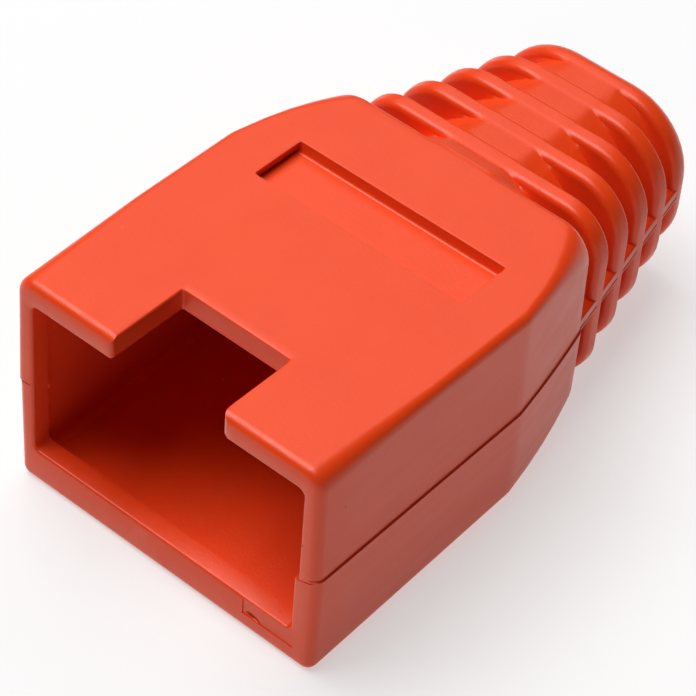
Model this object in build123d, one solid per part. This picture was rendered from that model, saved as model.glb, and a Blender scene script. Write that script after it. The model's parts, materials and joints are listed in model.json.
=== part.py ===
from build123d import *
import os

# RJ45 strain relief boot, one moulding in soft PVC.
# The mouth faces -Y, the cable leaves along +Y, the latch side is up (+Z).
# All sizes in millimetres, lengths counted from the mouth.

# Box that slips over the rear of the plug
WIDTH = 14.2
HEIGHT = 9.9
BOX_LENGTH = 11.0
AXIS_HEIGHT = 4.8
WALL_DRAFT = 0.015
TOP_SLOPE = 0.030
BOTTOM_SLOPE = 0.030
EDGE_ROUND = 0.45
FRONT_ROUND = 0.35

# Shoulder, where the box narrows down to the tail
SHOULDER_LENGTH = 5.0
SHOULDER_WIDTH = 12.1
SHOULDER_CORNER = 1.4
SHOULDER_MID_CORNER = 0.60
SHOULDER_CROWN = 0.06
SHOULDER_BAND = 0.40
SHOULDER_ROUND = 0.30

# Plug socket and the low lip that holds the plug
SIDE_WALL = 0.72
TOP_WALL = 1.05
BOTTOM_WALL = 0.85
SOCKET_CORNER = 0.35
LIP_HEIGHT = 0.20
LIP_LENGTH = 0.65
THROAT_CLEARANCE = 0.30
THROAT_WALL = 0.80

# Latch notch in the top wall
NOTCH_WIDTH = 4.9
NOTCH_LENGTH = 3.55
NOTCH_CORNER = 0.40

# Shallow grip pocket across the top
POCKET_WIDTH = 9.5
POCKET_LENGTH = 2.5
POCKET_BACK = 1.35
POCKET_DEPTH = 0.45
POCKET_DRAFT = 12.0
POCKET_RIM = 0.12

# Ribbed tail
CABLE_BORE = 6.0
RIB_COUNT = 4
RIB_PITCH = 1.73
RIB_THICKNESS = 0.88
RIB_BEVEL = 0.20
FIRST_RIB_INSET = 0.35
FIRST_RIB_CORNER = 1.95
COLLAR_LENGTH = 1.16
COLLAR_SIDE_WALL = 1.30
COLLAR_TOP_WALL = 0.70
COLLAR_CORNER = 3.0
COLLAR_END_ROUND = 0.80
CORE_START = 8.2
CORE_END = 7.5
GROOVE_TOP_DEPTH = 0.12
SIDE_WEB_HEIGHT = 1.9
SIDE_WEB_INSET = 0.12

# Sizes that follow from those above
shoulder_end = BOX_LENGTH + SHOULDER_LENGTH
groove_width = RIB_PITCH - RIB_THICKNESS
rib_starts = [shoulder_end + groove_width + i * RIB_PITCH for i in range(RIB_COUNT)]
collar_start = shoulder_end + groove_width + RIB_COUNT * RIB_PITCH
length = collar_start + COLLAR_LENGTH
mouth_y = -length / 2
half = WIDTH / 2
shoulder_half = SHOULDER_WIDTH / 2
rib_bevel = min(RIB_BEVEL, 0.45 * RIB_THICKNESS)
collar_round = min(COLLAR_END_ROUND, COLLAR_LENGTH - rib_bevel - 0.05)
collar_width = CABLE_BORE + 2 * COLLAR_SIDE_WALL
collar_height = CABLE_BORE + 2 * COLLAR_TOP_WALL


def plane_at(y):
    """Upright plane across the length, centred on the cable axis."""
    return Plane(origin=(0, mouth_y + y, AXIS_HEIGHT), x_dir=(1, 0, 0), z_dir=(0, -1, 0))


def top_at(y):
    return HEIGHT - AXIS_HEIGHT - TOP_SLOPE * y


def bottom_at(y):
    return BOTTOM_SLOPE * y - AXIS_HEIGHT


def drafted_section(y, half_width, low, high, corner):
    """Rectangle that is widest at the parting plane, with rounded corners."""
    high_half = half_width - WALL_DRAFT * high
    low_half = half_width + WALL_DRAFT * low
    outline = Polyline(
        (half_width, 0),
        (high_half, high),
        (-high_half, high),
        (-half_width, 0),
        (-low_half, low),
        (low_half, low),
        close=True,
    )
    face = make_face(outline)
    corners = [v for v in face.vertices() if abs(v.Y) > 1e-6]
    return plane_at(y) * fillet(corners, corner)


def box_section(y, inset_side, inset_low, inset_high, corner):
    """Section of the straight box, or of a room inside it."""
    return drafted_section(y, half - inset_side, bottom_at(y) + inset_low, top_at(y) - inset_high, corner)


def rounded_bar(y, thickness, width, height, corner):
    return extrude(plane_at(y) * RectangleRounded(width, height, corner), -thickness)


def end_edges(bar, end):
    return bar.faces().sort_by(Axis.Y)[end].outer_wire().edges()


def between(first, last, share):
    return first + (last - first) * share


# Box shell, and the shoulder behind it: sides that close in, bowed a little, with corners
# that grow rounder
shell = loft([box_section(0, 0, 0, 0, EDGE_ROUND), box_section(BOX_LENGTH, 0, 0, 0, EDGE_ROUND)], ruled=True)
shell = fillet(end_edges(shell, 0), FRONT_ROUND)
band_start = shoulder_end - SHOULDER_BAND
middle = (BOX_LENGTH + band_start) / 2
band_low = bottom_at(shoulder_end)
band_high = top_at(shoulder_end)
band_section = drafted_section(band_start, shoulder_half, band_low, band_high, SHOULDER_CORNER)
middle_half = (half + shoulder_half) / 2 + SHOULDER_CROWN
middle_section = drafted_section(
    middle, middle_half, bottom_at(middle), top_at(middle), SHOULDER_MID_CORNER
)
shoulder = loft([box_section(BOX_LENGTH, 0, 0, 0, EDGE_ROUND), middle_section], ruled=True)
shoulder += loft([middle_section, band_section], ruled=True)
band = extrude(band_section, -SHOULDER_BAND)
band = fillet(end_edges(band, -1), SHOULDER_ROUND)

# Round core of the tail, a cone about the cable, cut off flat a little below the tops of the
# ribs. The grooves are deep at the corners and sides and nearly flush along the middle of the
# top and bottom, and a web along each side ends them at the parting line
first_width = SHOULDER_WIDTH - 2 * FIRST_RIB_INSET
first_height = band_high - band_low - 2 * FIRST_RIB_INSET
core_start = band_start
core_end = collar_start + COLLAR_LENGTH / 2
core_length = core_end - core_start
core = plane_at(core_end) * Pos(0, 0, core_length / 2) * Cone(CORE_END / 2, CORE_START / 2, core_length)
core &= loft(
    [
        plane_at(core_start) * Rectangle(first_width, first_height - 2 * GROOVE_TOP_DEPTH),
        plane_at(core_end) * Rectangle(first_width, collar_height - 2 * GROOVE_TOP_DEPTH),
    ],
    ruled=True,
)
side_web = loft(
    [
        plane_at(core_start) * Rectangle(first_width - 2 * SIDE_WEB_INSET, SIDE_WEB_HEIGHT),
        plane_at(core_end) * Rectangle(collar_width - 2 * SIDE_WEB_INSET, SIDE_WEB_HEIGHT),
    ],
    ruled=True,
)

# Ribs, each a rounded bar round the core, smaller and rounder towards the end
ribs = []
for i, start in enumerate(rib_starts):
    share = i / RIB_COUNT
    rib = rounded_bar(
        start,
        RIB_THICKNESS,
        between(first_width, collar_width, share),
        between(first_height, collar_height, share),
        between(FIRST_RIB_CORNER, COLLAR_CORNER, share),
    )
    ribs.append(chamfer(end_edges(rib, 0) + end_edges(rib, -1), rib_bevel))

# End collar, with a well rounded outer end
collar = rounded_bar(collar_start, COLLAR_LENGTH, collar_width, collar_height, COLLAR_CORNER)
collar = chamfer(end_edges(collar, 0), rib_bevel)
collar = fillet(end_edges(collar, -1), collar_round)

# Room for the rear of the plug, narrowing to the cable bore short of the first groove, and
# the mouth inside the lip
socket_front = box_section(LIP_LENGTH, SIDE_WALL, BOTTOM_WALL, TOP_WALL, SOCKET_CORNER)
socket_end = box_section(BOX_LENGTH, SIDE_WALL, BOTTOM_WALL, TOP_WALL, SOCKET_CORNER)
socket = loft([socket_front, socket_end], ruled=True)
throat_half = CABLE_BORE / 2 + THROAT_CLEARANCE
throat_end = shoulder_end - THROAT_WALL
throat = loft(
    [socket_end, drafted_section(throat_end, throat_half, -throat_half, throat_half, SOCKET_CORNER)],
    ruled=True,
)
mouth = loft(
    [
        box_section(-FRONT_ROUND, SIDE_WALL + LIP_HEIGHT, BOTTOM_WALL + LIP_HEIGHT, TOP_WALL, SOCKET_CORNER),
        box_section(LIP_LENGTH, SIDE_WALL + LIP_HEIGHT, BOTTOM_WALL + LIP_HEIGHT, TOP_WALL, SOCKET_CORNER),
    ],
    ruled=True,
)
bore = extrude(plane_at(BOX_LENGTH) * Circle(CABLE_BORE / 2), -(length - BOX_LENGTH + COLLAR_LENGTH))

# Latch notch, cut down through the top wall, its front corners rounded off
notch_half = NOTCH_WIDTH / 2
with BuildSketch() as notch_plan:
    with BuildLine():
        Polyline(
            (notch_half + NOTCH_CORNER, -NOTCH_CORNER),
            (notch_half + NOTCH_CORNER, 0),
        )
        RadiusArc((notch_half + NOTCH_CORNER, 0), (notch_half, NOTCH_CORNER), NOTCH_CORNER)
        Polyline(
            (notch_half, NOTCH_CORNER),
            (notch_half, NOTCH_LENGTH),
            (-notch_half, NOTCH_LENGTH),
            (-notch_half, NOTCH_CORNER),
        )
        RadiusArc((-notch_half, NOTCH_CORNER), (-notch_half - NOTCH_CORNER, 0), NOTCH_CORNER)
        Polyline(
            (-notch_half - NOTCH_CORNER, 0),
            (-notch_half - NOTCH_CORNER, -NOTCH_CORNER),
            (notch_half + NOTCH_CORNER, -NOTCH_CORNER),
        )
    make_face()
notch = extrude(Pos(0, mouth_y, AXIS_HEIGHT) * notch_plan.sketch, HEIGHT)

# Grip pocket, sunk square to the sloping top
pocket_middle = BOX_LENGTH + POCKET_BACK - POCKET_LENGTH / 2
top_plane = Plane(
    origin=(0, mouth_y + pocket_middle, AXIS_HEIGHT + top_at(pocket_middle)),
    x_dir=(1, 0, 0),
    z_dir=(0, TOP_SLOPE, 1),
)
pocket = extrude(top_plane * Rectangle(POCKET_WIDTH, POCKET_LENGTH), -POCKET_DEPTH, taper=POCKET_DRAFT)
pocket += extrude(
    top_plane * Rectangle(POCKET_WIDTH + POCKET_RIM, POCKET_LENGTH + POCKET_RIM), -POCKET_RIM, taper=45
)

boot = shell + shoulder + band + core + side_web
for rib in ribs:
    boot = boot + rib
boot = boot + collar
boot = boot - socket - throat - mouth - bore - notch - pocket
boot = Pos(0, 0, -boot.bounding_box().min.Z) * boot

os.makedirs("parts", exist_ok=True)
boot.label = "boot"
export_step(boot, "parts/boot.step")
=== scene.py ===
import json
import math

import bmesh
import bpy
from mathutils import Euler, Matrix, Vector


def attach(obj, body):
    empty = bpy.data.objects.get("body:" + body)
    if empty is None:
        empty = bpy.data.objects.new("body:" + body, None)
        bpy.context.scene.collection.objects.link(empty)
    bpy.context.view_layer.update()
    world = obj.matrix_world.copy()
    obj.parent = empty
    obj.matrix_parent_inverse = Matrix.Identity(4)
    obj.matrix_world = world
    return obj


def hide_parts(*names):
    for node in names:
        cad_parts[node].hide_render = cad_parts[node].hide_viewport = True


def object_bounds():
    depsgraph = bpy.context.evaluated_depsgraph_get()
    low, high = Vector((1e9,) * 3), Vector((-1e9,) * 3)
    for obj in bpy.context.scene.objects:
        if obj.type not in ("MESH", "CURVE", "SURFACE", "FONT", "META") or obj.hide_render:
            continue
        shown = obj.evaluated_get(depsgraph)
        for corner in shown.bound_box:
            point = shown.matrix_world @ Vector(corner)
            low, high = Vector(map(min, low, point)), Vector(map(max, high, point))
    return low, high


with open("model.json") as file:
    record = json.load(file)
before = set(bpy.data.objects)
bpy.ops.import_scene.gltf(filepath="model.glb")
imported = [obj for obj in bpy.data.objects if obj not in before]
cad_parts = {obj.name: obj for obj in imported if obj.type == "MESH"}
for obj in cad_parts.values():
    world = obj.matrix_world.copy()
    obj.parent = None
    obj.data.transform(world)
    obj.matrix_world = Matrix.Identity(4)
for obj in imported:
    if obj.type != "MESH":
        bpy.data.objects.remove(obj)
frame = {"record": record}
cad_low, cad_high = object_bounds()

# Outside of the boot: a soft sleeve that slips over the back of a modular plug and grips the
# cable. It is one shot of soft PVC from a mould in two halves that meet at the cable's axis.
# Lengths are in millimetres, counted from the mouth along Y, and heights from that axis.
MM = 0.001
cable = next(m for m in frame["record"]["mounts"] if m["name"] == "cable_bore")
axis_height = cable["pos_m"][2]
bore_radius = cable["dims"]["r_mm"]
half_width = (cad_high.x - cad_low.x) / 2 / MM
length = (cad_high.y - cad_low.y) / MM
mouth_top, mouth_bottom, slope = 5.1, -4.8, 0.03
box_length, shoulder_end = 11.0, 16.0
shoulder_half, shoulder_bow = 6.05, 0.23
edge_round, top_edge_round = 0.45, 0.38
shoulder_corner, corner_growth = 1.4, 2.6
front_corner, front_corner_length = 0.78, 6.0
front_round, shoulder_round = 0.38, 0.30
least_corner, corner_steps = 0.06, 10
long_run, run_cuts = 1.0, 32
hair, touch = 0.01, 1e-4  # slack for telling places apart
box_stations = (2.0, 4.0, 6.0, 10.7, 11.0, 11.3, 12.5, 13.6, 14.6, 15.3)


def edges_at(verts):
    """The edges at some vertices, each once, in the same order on every run."""
    return list(dict.fromkeys(e for v in verts for e in v.link_edges))


def ring(bm, y, half, low, high, corner, top_corner):
    """A rectangle of edges across the boot, its four corners rounded by bevels."""
    spots = ((half, low), (-half, low), (-half, high), (half, high))
    verts = [bm.verts.new((x, y, z)) for x, z in spots]
    for i in range(4):
        bm.edges.new((verts[i - 1], verts[i]))
    rounded = []
    for pair, radius in ((verts[:2], corner), (verts[2:], top_corner)):
        made = bmesh.ops.bevel(
            bm, geom=pair, affect="VERTICES", offset=radius, segments=corner_steps, profile=0.5, material=-1
        )
        rounded += made["verts"]
    return edges_at(rounded)


def sleeve(bm, rings):
    """Skins a row of rings, then cuts their straight runs so that they can follow curves."""
    for near, far in zip(rings, rings[1:]):
        bmesh.ops.bridge_loops(bm, edges=near + far)
    level = [e for e in bm.edges if abs(e.verts[0].co.y - e.verts[1].co.y) < touch]
    runs = [e for e in level if e.calc_length() > long_run]
    bmesh.ops.subdivide_edges(bm, edges=runs, cuts=run_cuts, use_grid_fill=True)


def quarter(radius, steps):
    """Points of a rounded edge: how far along, and how far in from the outline."""
    turns = [math.pi / 2 * i / steps for i in range(steps + 1)]
    return [(radius * (1 - math.cos(a)), radius * (1 - math.sin(a))) for a in turns]


def top_at(y):
    return mouth_top - slope * y


def bottom_at(y):
    return mouth_bottom + slope * y


def down_shoulder(y):
    return min(max((y - box_length) / (shoulder_end - box_length), 0.0), 1.0)


def half_at(y):
    t = down_shoulder(y)
    return half_width + (shoulder_half - half_width) * (t - shoulder_bow * t * (1 - t))


def box_ring(y, inset):
    """Section of the box and shoulder. The top corners are rounder at the mouth, and all four
    grow rounder down the shoulder."""
    grown = down_shoulder(y) ** corner_growth
    top_round = top_edge_round + (front_corner - top_edge_round) * max(1 - y / front_corner_length, 0.0)
    corners = [r + (shoulder_corner - r) * grown - inset for r in (edge_round, top_round)]
    corners = [max(r, least_corner) for r in corners]
    return ring(skin, y, half_at(y) - inset, bottom_at(y) + inset, top_at(y) - inset, *corners)


skin = bmesh.new()
rings = [box_ring(along, inset) for along, inset in quarter(front_round, 5)]
rings += [box_ring(y, 0) for y in box_stations]
rings += [box_ring(shoulder_end - along, inset) for along, inset in reversed(quarter(shoulder_round, 4))]

# Ribbed tail: four bars and an end collar in the same soft PVC, moulded in one with the sleeve, so
# that the tail bends with the cable. Each bar has a soft front edge and a crisp back edge, and the
# grooves run out flush along the middle of the top and the bottom.
rib_count = 4
rib_pitch, rib_thickness = 1.73, 0.72
rib_front_round, rib_back_round = 0.28, 0.12
first_rib = (11.4, 8.24, 1.95)  # width, height, corner
collar = (8.6, 7.4, 3.0)
collar_round = 0.80
groove, wall_lean = 0.87, 0.10
collar_start = shoulder_end + groove + rib_count * rib_pitch
rib_end = shoulder_end + groove + rib_thickness


def rib_size(i):
    return [a + (b - a) * i / rib_count for a, b in zip(first_rib, collar)]


def rib_ring(y, width, height, corner, inset):
    corner -= inset
    return ring(skin, y, width / 2 - inset, inset - height / 2, height / 2 - inset, corner, corner)


rings.append(rib_ring(shoulder_end + wall_lean, *first_rib, rib_front_round))
for i in range(rib_count + 1):
    size = rib_size(i)
    start = shoulder_end + groove + i * rib_pitch
    last = i == rib_count
    end, end_round = (length, collar_round) if last else (start + rib_thickness, rib_back_round)
    rings.append(rib_ring(start - wall_lean, *size, rib_front_round))
    rings += [rib_ring(start + along, *size, inset) for along, inset in quarter(rib_front_round, 8)]
    rings += [rib_ring(end - along, *size, inset) for along, inset in reversed(quarter(end_round, 6))]
    if not last:
        rings.append(rib_ring(end + wall_lean, *size, rib_back_round))
sleeve(skin, rings)

# Parting line: the two halves of the mould sit a little out of step, which leaves a fine groove
# and a ledge along the sides of the box. The walls lean in from it so that they leave the mould.
seam_half, seam_depth, on_seam = 0.025, 0.06, 1e-3
out_of_step, step_spread = 0.07, 1.2
wall_draft = 0.015


def part_at(bm, z):
    everything = bm.verts[:] + bm.edges[:] + bm.faces[:]
    bmesh.ops.bisect_plane(bm, geom=everything, plane_co=(0, 0, z), plane_no=(0, 0, 1), dist=touch)


for z in (-seam_half, 0, seam_half):
    part_at(skin, z)
for v in skin.verts:
    if v.co.y < shoulder_end + hair:
        half = half_at(v.co.y)
        inset = wall_draft * abs(v.co.z) + out_of_step / 2
        step = 0.0
        if abs(v.co.z) > on_seam:
            step = math.copysign(out_of_step / 2, -v.co.z)
        else:
            inset += seam_depth
        v.co.x = v.co.x * (half - inset) / half + step * min(abs(v.co.x) / half * step_spread, 1.0)

# Core of the tail: the wall round the cable that the bars stand on, part of the same moulding. It
# is round, but cut off flat along the top and the bottom, level with the bars.
core_end, core_swell, core_blend = 24.35, 0.15, 0.10
shoulder_crest, shoulder_offset = 4.45, 0.15  # the shoulder reaches higher over the axis than below it
collar_wall = 0.12
least_climb = 0.1


def blend_max(a, b, soft):
    h = max(soft - abs(a - b), 0.0) / soft
    return max(a, b) + h * h * soft / 4


def core_reach(y, climb):
    """Distance from the axis to the core. Its flats run from the back of each rib straight to the
    front of the next one."""
    if y > core_end:
        return bore_radius + collar_wall
    height = shoulder_crest + shoulder_offset * climb
    if y > shoulder_end:
        i = min(max(math.ceil((y - rib_end) / rib_pitch), 0), rib_count)
        front = shoulder_end + groove + i * rib_pitch
        back = front - rib_pitch + rib_thickness if i else shoulder_end
        crest = rib_size(i)[1] / 2
        before = rib_size(i - 1)[1] / 2 if i else height
        height = before + (crest - before) * min((y - back) / (front - back), 1.0)
    return min(height + core_swell, height / max(abs(climb), least_climb))


for v in skin.verts:
    if v.co.y > shoulder_end - shoulder_round - hair:
        reach = math.hypot(v.co.x, v.co.z)
        core = core_reach(v.co.y, v.co.z / reach)
        past = (v.co.y - rib_end) % rib_pitch
        between_ribs = hair < past < rib_pitch - rib_thickness - hair
        in_groove = between_ribs and shoulder_end + hair < v.co.y < collar_start - hair
        wanted = core if in_groove else blend_max(reach, core, core_blend)
        v.co.x *= wanted / reach
        v.co.z *= wanted / reach

# Hollow: the socket for the back of the plug with its holding lip, the throat behind it, and the
# hole for the cable. A steel core in the mould leaves it, and the soft walls stretch as the lip
# is pulled off that core. The right side of the lip has a small step in it.
hollow = bmesh.new()
top_wall, bottom_wall, side_wall = 1.05, 0.85, 0.72
socket_corner = 0.28
lip_length, lip_rise, side_lip, lip_back = 0.80, 0.77, 0.26, 0.05
lip_step, right_lip_shift, left_lip_shift = -0.35, 0.10, 0.18
mouth_round, hole_round, rim_gap = 0.12, 0.10, 0.02
throat_end, throat_half, throat_back = 15.2, bore_radius + 0.3, 0.05
bore_corner = 0.7
weld, sliver = 0.003, 0.001


def socket_ring(y, lip, inset):
    half = half_width - side_wall - lip * side_lip + inset
    low = bottom_at(y) + bottom_wall + lip * lip_rise - inset
    high = top_at(y) - top_wall + inset
    return ring(hollow, y, half, low, high, socket_corner + inset, socket_corner + inset)


def bore_ring(y, radius):
    return ring(hollow, y, radius, -radius, radius, radius * bore_corner, radius * bore_corner)


rings = [socket_ring(rim_gap + along, 1, inset) for along, inset in quarter(mouth_round, 3)]
rings += [socket_ring(lip_length, 1, 0), socket_ring(lip_length + lip_back, 0, 0)]
rings += [socket_ring(box_length, 0, 0)]
rings += [ring(hollow, throat_end, throat_half, -throat_half, throat_half, socket_corner, socket_corner)]
rings += [bore_ring(throat_end + throat_back, bore_radius), bore_ring(length - hole_round, bore_radius)]
rings += [bore_ring(length - rim_gap, bore_radius + hole_round)]
sleeve(hollow, rings)
for z in (lip_step - seam_half, lip_step + seam_half):
    part_at(hollow, z)
for v in hollow.verts:
    if v.co.y > throat_end + hair:
        radius = bore_radius + max(v.co.y - length + hole_round, 0.0)
        reach = math.hypot(v.co.x, v.co.z)
        v.co.x *= radius / reach
        v.co.z *= radius / reach
    elif v.co.y < lip_length + hair:
        shift = left_lip_shift
        if v.co.x > 0:
            shift = -right_lip_shift if v.co.z < lip_step else right_lip_shift
        v.co.x *= 1 + shift / half_width


def keep_mesh(name, bm):
    mesh = bpy.data.meshes.new(name)
    bm.to_mesh(mesh)
    bm.free()
    return mesh


def place(name, bm):
    piece = bpy.data.objects.new(name, keep_mesh(name, bm))
    bpy.context.scene.collection.objects.link(piece)
    return piece


inner = keep_mesh("hollow", hollow)
skin.from_mesh(inner)
bpy.data.meshes.remove(inner)
for end in (0, length):
    rim = [e for e in skin.edges if e.is_boundary and abs(e.verts[0].co.y - end) < hole_round]
    bmesh.ops.bridge_loops(skin, edges=rim)
bmesh.ops.remove_doubles(skin, verts=skin.verts, dist=weld)
bmesh.ops.dissolve_degenerate(skin, edges=skin.edges, dist=sliver)
bmesh.ops.recalc_face_normals(skin, faces=skin.faces)
boot = place("boot_moulding", skin)

# Side webs: where the halves of the mould meet, a low web closes the grooves on each side, moulded
# in one with the bars, with a thin fin of flash along its middle.
web_start, web_end = 15.7, 24.3
web_root, web_front_face, web_back_face = 3.3, 6.02, 4.25


def join_shape(bm, operation):
    """Adds a shape to the moulding, or takes it out."""
    bmesh.ops.recalc_face_normals(bm, faces=bm.faces)
    tool = place("tool", bm)
    change = boot.modifiers.new("change", "BOOLEAN")
    change.operation, change.object, change.solver = operation, tool, "EXACT"
    changed = boot.evaluated_get(bpy.context.evaluated_depsgraph_get())
    result = bpy.data.meshes.new_from_object(changed)
    boot.modifiers.clear()
    before = boot.data
    boot.data = result
    bpy.data.meshes.remove(before)
    before = tool.data
    bpy.data.objects.remove(tool)
    bpy.data.meshes.remove(before)
    result.name = "boot_moulding"


def side_bars(low, root_height, edge_height, stand_out, rounding):
    """A bar along each side of the tail, with its outer long edges rounded."""
    bars = bmesh.new()
    for side in (1, -1):
        bar = bmesh.ops.create_cube(bars, size=2)["verts"]
        for v in bar:
            back, outer = v.co.y > 0, v.co.x > 0
            face = (web_back_face if back else web_front_face) + stand_out
            x = side * (face if outer else web_root)
            high = edge_height if outer else root_height
            v.co = (x, web_end if back else web_start, high if v.co.z > 0 else low)
        along_bar = [e for e in edges_at(bar) if e.calc_length() > (web_end - web_start) / 2]
        outer_edges = [e for e in along_bar if abs(e.verts[0].co.x) > web_root + hair]
        bmesh.ops.bevel(
            bars, geom=outer_edges, affect="EDGES", offset=rounding, segments=3, profile=0.5, material=-1
        )
    return bars


web = side_bars(low=-0.10, root_height=0.60, edge_height=0.44, stand_out=-0.01, rounding=0.08)
join_shape(web, "UNION")
flash = side_bars(low=-0.085, root_height=0.015, edge_height=0.015, stand_out=0.015, rounding=0.02)
join_shape(flash, "UNION")

# Marks on the front: the parting line across the side walls, left by the mould's halves, and the
# place under the right end of the lip where the gate was cut off, a shallow step with a small pit.
cutter_depth = 0.5
seam_length, seam_width, seam_cut = 1.6, 0.05, 0.035
right_seam, left_seam = (6.65, -0.175, -0.37), (-6.65, 0.04, 0.0)  # x, height, tilt
gate_middle, gate_width, gate_cut = 5.02, 2.34, 0.045
gate_low, gate_high = -4.0, -3.0
pit_place, pit_radii, pit_turn = (4.35, 0.02, -3.88), (0.34, 0.15, 0.13), 0.25
front_marks = bmesh.new()
for x, z, tilt in (right_seam, left_seam):
    lie = Matrix.Translation((x, seam_cut - cutter_depth / 2, z)) @ Matrix.Rotation(tilt, 4, "Y")
    lie @= Matrix.Diagonal((seam_length, cutter_depth, seam_width, 1))
    bmesh.ops.create_cube(front_marks, size=1, matrix=lie)
join_shape(front_marks, "DIFFERENCE")
gate = bmesh.new()
lie = Matrix.Translation((gate_middle, gate_cut - cutter_depth / 2, (gate_low + gate_high) / 2))
lie @= Matrix.Diagonal((gate_width, cutter_depth, gate_high - gate_low, 1))
bmesh.ops.create_cube(gate, size=1, matrix=lie)
join_shape(gate, "DIFFERENCE")
pit = bmesh.new()
lie = Matrix.Translation(pit_place) @ Matrix.Rotation(pit_turn, 4, "Y")
lie @= Matrix.Diagonal((*pit_radii, 1))
bmesh.ops.create_uvsphere(pit, u_segments=16, v_segments=8, radius=1, matrix=lie)
join_shape(pit, "DIFFERENCE")

# Latch notch: the opening in the top wall that lets the plug's latch through. An insert in the
# mould leaves it, and its edges come out slightly rounded, the right front corner most.
notch_half, notch_length, notch_corner = 2.45, 3.55, 0.12
notch_rim = 0.10
notch_foot, notch_foot_low, notch_foot_high = 0.08, 0.02, 0.13
right_turn, left_turn = 0.50, 0.20
flare_half, flare_front = 3.6, -1.0
notch_spread, notch_reach, notch_through = 0.3, -2.2, 0.05


def sunk_shape(plan, levels):
    """A shape to sink into the top. Its plan, a row of corners with their growth along Y and their
    rounding, grows from level to level, so that its edges come out rounded."""
    shape = bmesh.new()
    rims = []
    for grow, rise in levels:
        loose = [shape.verts.new((x + math.copysign(grow, x), y + grow * gy, 0)) for x, y, gy, r in plan]
        for i in range(len(loose)):
            shape.edges.new((loose[i - 1], loose[i]))
        for corner, radius in [(v, r) for v, (x, y, gy, r) in zip(loose, plan) if r]:
            made = bmesh.ops.bevel(
                shape,
                geom=[corner],
                affect="VERTICES",
                offset=radius,
                segments=5,
                profile=0.5,
                material=-1,
            )
            loose += made["verts"]
        loose = [v for v in loose if v.is_valid]
        for v in loose:
            v.co.z = top_at(max(v.co.y, 0.0)) + rise
        rims.append(edges_at(loose))
    for near, far in zip(rims, rims[1:]):
        bmesh.ops.bridge_loops(shape, edges=near + far)
    for rim in (rims[0], rims[-1]):
        bmesh.ops.edgeloop_fill(shape, edges=rim)
    return shape


def rim_levels(radius, lean):
    """The rounded rim of a sunk shape, from a wall that leans out, up through the top of the boot."""
    last_turn, overlap = math.radians(75), 0.006
    clear, clear_rise, far_rise = 0.12, 0.04, 1.0
    turns = [lean + (last_turn - lean) * i / 4 for i in range(5)]
    grows = [radius * (1 - math.cos(a)) for a in turns]
    rises = [radius * (math.sin(a) - math.sin(last_turn)) + overlap for a in turns]
    return list(zip(grows, rises)) + [(grows[-1] + clear, rise) for rise in (clear_rise, far_rise)]


notch_plan = (
    (flare_half, flare_front, 0, 0),
    (flare_half, -hair, 0, 0),
    (notch_half, -hair, 0, right_turn),
    (notch_half, notch_length, 1, notch_corner),
    (-notch_half, notch_length, 1, notch_corner),
    (-notch_half, -hair, 0, left_turn),
    (-flare_half, -hair, 0, 0),
    (-flare_half, flare_front, 0, 0),
)
notch_levels = [(notch_spread, notch_reach), (notch_spread, -top_wall - notch_through)]
notch_levels += [(notch_foot, -top_wall + notch_foot_low), (0.0, -top_wall + notch_foot_high)]
notch_levels += rim_levels(notch_rim, 0.0)
join_shape(sunk_shape(notch_plan, notch_levels), "DIFFERENCE")

# Grip pocket: a shallow hollow across the top that gives a finger hold. It is left by the mould,
# with walls that lean out so that it comes off, and a rounded foot.
pocket_half, pocket_front, pocket_back = 4.75, 9.85, 12.35
pocket_depth, pocket_rim, pocket_foot, pocket_corner = 0.45, 0.06, 0.14, 0.10
pocket_draft = math.radians(12)
pocket_levels = rim_levels(pocket_rim, pocket_draft)
turns = [math.pi / 2 - (math.pi / 2 - pocket_draft) * i / 3 for i in range(4)]
foot_rise = [pocket_foot * (1 - math.sin(a)) - pocket_depth for a in turns]
foot_grow = [pocket_foot * (math.cos(a) - math.cos(pocket_draft)) for a in turns]
wall_foot = pocket_levels[0][0] - (pocket_levels[0][1] - foot_rise[-1]) * math.tan(pocket_draft)
pocket_levels = [(wall_foot + grow, rise) for grow, rise in zip(foot_grow, foot_rise)] + pocket_levels
pocket_plan = (
    (pocket_half, pocket_front, -1, pocket_corner),
    (pocket_half, pocket_back, 1, pocket_corner),
    (-pocket_half, pocket_back, 1, pocket_corner),
    (-pocket_half, pocket_front, -1, pocket_corner),
)
join_shape(sunk_shape(pocket_plan, pocket_levels), "DIFFERENCE")

# The moulding is whole now, so it goes to metres and to its place in the frame.
sharp_angle = math.radians(35)
boot.data.transform(Matrix.Translation((0, cad_low.y, axis_height)) @ Matrix.Scale(MM, 4))
boot.data.polygons.foreach_set("use_smooth", [True] * len(boot.data.polygons))
boot.data.set_sharp_from_angle(angle=sharp_angle)
even = boot.modifiers.new("even shading", "WEIGHTED_NORMAL")
even.keep_sharp = True

# Soft PVC, moulded in a finely eroded mould: dull, with a fine grain, a little cloudy where the
# colour paste isn't evenly mixed, with a stray light or dark speck, and paler seen along a wall.
grain, grain_depth = 0.11, 0.012  # the mould's grain is nearer 0.04 mm, drawn coarser so that it shows
cloud, streak, streak_length = 2.5, 0.5, 7.0
speck_spacing, speck_radius = 2.0, 0.045


def linear(hex_colour):
    parts = [int(hex_colour[i:i + 2], 16) / 255 for i in (1, 3, 5)]
    return [c / 12.92 if c <= 0.04045 else ((c + 0.055) / 1.055) ** 2.4 for c in parts] + [1.0]


def add_node(tree, kind, settings, links):
    """Adds a node; settings and links go by the name of a property or an input, or by its number."""
    node = tree.nodes.new(kind)
    for name, value in settings.items():
        if isinstance(name, int) or name in node.inputs:
            node.inputs[name].default_value = value
        else:
            setattr(node, name, value)
    for name, source in links.items():
        tree.links.new(source, node.inputs[name])
    return node


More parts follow.
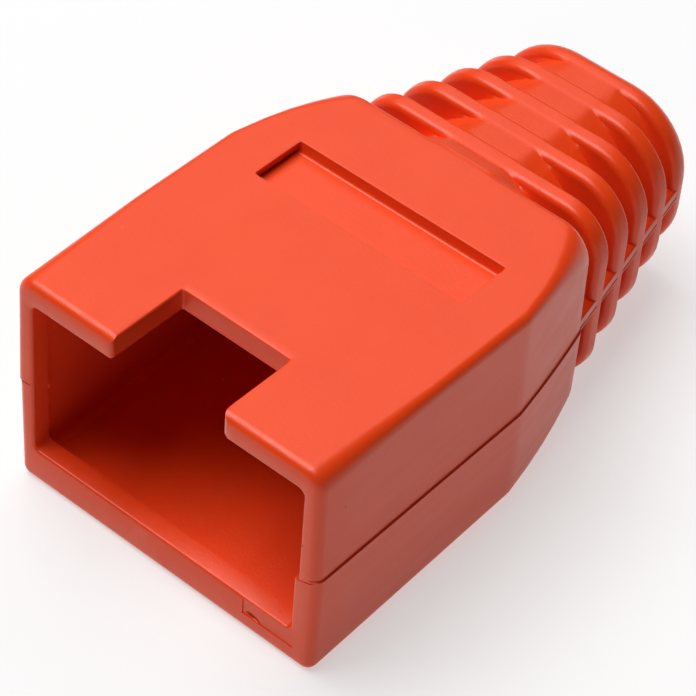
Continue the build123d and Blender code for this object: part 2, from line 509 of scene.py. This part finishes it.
pvc = bpy.data.materials.new("soft_pvc_moulded")
pvc.use_nodes = True
tree = pvc.node_tree
where = add_node(tree, "ShaderNodeTexCoord", {}, {}).outputs["Object"]
clouds = add_node(
    tree,
    "ShaderNodeTexNoise",
    {"Scale": 1 / (cloud * MM), "Detail": 3.0, "Roughness": 0.55},
    {"Vector": where},
)
paste = add_node(
    tree,
    "ShaderNodeMix",
    {"data_type": "RGBA", 6: linear("#E94B13"), 7: linear("#F15217")},
    {0: clouds.outputs["Fac"]},
)
specks = add_node(tree, "ShaderNodeTexVoronoi", {"Scale": 1 / (speck_spacing * MM)}, {"Vector": where})
kind = add_node(tree, "ShaderNodeSeparateColor", {}, {"Color": specks.outputs["Color"]})
pale = add_node(tree, "ShaderNodeMath", {"operation": "GREATER_THAN", 1: 0.5}, {0: kind.outputs["Red"]})
speck_colour = add_node(
    tree,
    "ShaderNodeMix",
    {"data_type": "RGBA", 6: linear("#8E2C14"), 7: linear("#F6977B")},
    {0: pale.outputs[0]},
)
speck = add_node(
    tree,
    "ShaderNodeMath",
    {"operation": "LESS_THAN", 1: speck_radius / speck_spacing},
    {0: specks.outputs["Distance"]},
)
colour = add_node(
    tree,
    "ShaderNodeMix",
    {"data_type": "RGBA"},
    {0: speck.outputs[0], 6: paste.outputs[2], 7: speck_colour.outputs[2]},
)
along = add_node(
    tree,
    "ShaderNodeMapping",
    {"Scale": [1 / (size * MM) for size in (streak, streak_length, streak)]},
    {"Vector": where},
)
streaks = add_node(
    tree, "ShaderNodeTexNoise", {"Scale": 1.0, "Detail": 2.0}, {"Vector": along.outputs["Vector"]}
)
dullness = add_node(
    tree,
    "ShaderNodeMapRange",
    {"From Min": 0.3, "From Max": 0.7, "To Min": 0.33, "To Max": 0.42},
    {"Value": streaks.outputs["Fac"]},
)
grit = add_node(
    tree,
    "ShaderNodeTexNoise",
    {"Scale": 1 / (grain * MM), "Detail": 2.0, "Roughness": 0.6},
    {"Vector": where},
)
relief = add_node(
    tree,
    "ShaderNodeBump",
    {"Strength": 0.5, "Distance": grain_depth * MM},
    {"Height": grit.outputs["Fac"]},
)
shader = tree.nodes["Principled BSDF"]
tree.links.new(colour.outputs[2], shader.inputs["Base Color"])
tree.links.new(dullness.outputs["Result"], shader.inputs["Roughness"])
tree.links.new(relief.outputs["Normal"], shader.inputs["Normal"])
shader.inputs["IOR"].default_value = 1.54
shader.inputs["Sheen Weight"].default_value = 0.5
shader.inputs["Sheen Roughness"].default_value = 0.3
boot.data.materials.clear()
boot.data.materials.append(pvc)
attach(boot, "root")
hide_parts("boot")

# Floor: a light table, a plain sheet of white acrylic. It is lit from below, so that the shadow on
# it stays faint.
floor_half = 1.0
ground = bmesh.new()
bmesh.ops.create_grid(ground, x_segments=1, y_segments=1, size=floor_half)
floor = place("floor", ground)
acrylic = bpy.data.materials.new("lit_white_acrylic")
acrylic.use_nodes = True
table = acrylic.node_tree.nodes["Principled BSDF"]
table.inputs["Base Color"].default_value = linear("#A4A4A4")
table.inputs["Roughness"].default_value = 0.9
table.inputs["Emission Color"].default_value = (1, 1, 1, 1)
table.inputs["Emission Strength"].default_value = 0.57
floor.data.materials.append(acrylic)

# Light: one large softbox over the left, a dim one behind the boot, and a dark room. The gamma
# deepens the shadows, as the photograph has them.
for name, size, watts, spot in (
    ("softbox", 0.30, 1.63, (-0.11, -0.045, 0.36)),
    ("back_softbox", 0.35, 0.55, (-0.21, 0.29, 0.35)),
):
    lamp = bpy.data.lights.new(name, "AREA")
    lamp.size, lamp.energy = size, watts
    softbox = bpy.data.objects.new(name, lamp)
    softbox.location = spot
    softbox.rotation_euler = (-Vector(spot)).to_track_quat("-Z", "Y").to_euler()
    bpy.context.scene.collection.objects.link(softbox)
world = bpy.data.worlds.new("studio")
world.use_nodes = True
world.node_tree.nodes["Background"].inputs["Color"].default_value = (1, 1, 1, 1)
world.node_tree.nodes["Background"].inputs["Strength"].default_value = 0.03
bpy.context.scene.world = world
bpy.context.scene.view_settings.view_transform = "Standard"
bpy.context.scene.view_settings.gamma = 0.85

# Camera: above the front right corner, with a long lens, at the photograph's viewing angle. Its
# place was fitted to points in the photograph.
eye = bpy.data.cameras.new("camera")
eye.lens, eye.sensor_width = 165.52, 36.0
eye.clip_start = 0.001
camera = bpy.data.objects.new("camera", eye)
camera.location = Vector((49.765, -67.823, 86.545)) * MM
camera.rotation_euler = Euler([math.radians(a) for a in (44.736, -3.278, 40.628)], "XYZ")
bpy.context.scene.collection.objects.link(camera)
bpy.context.scene.camera = camera
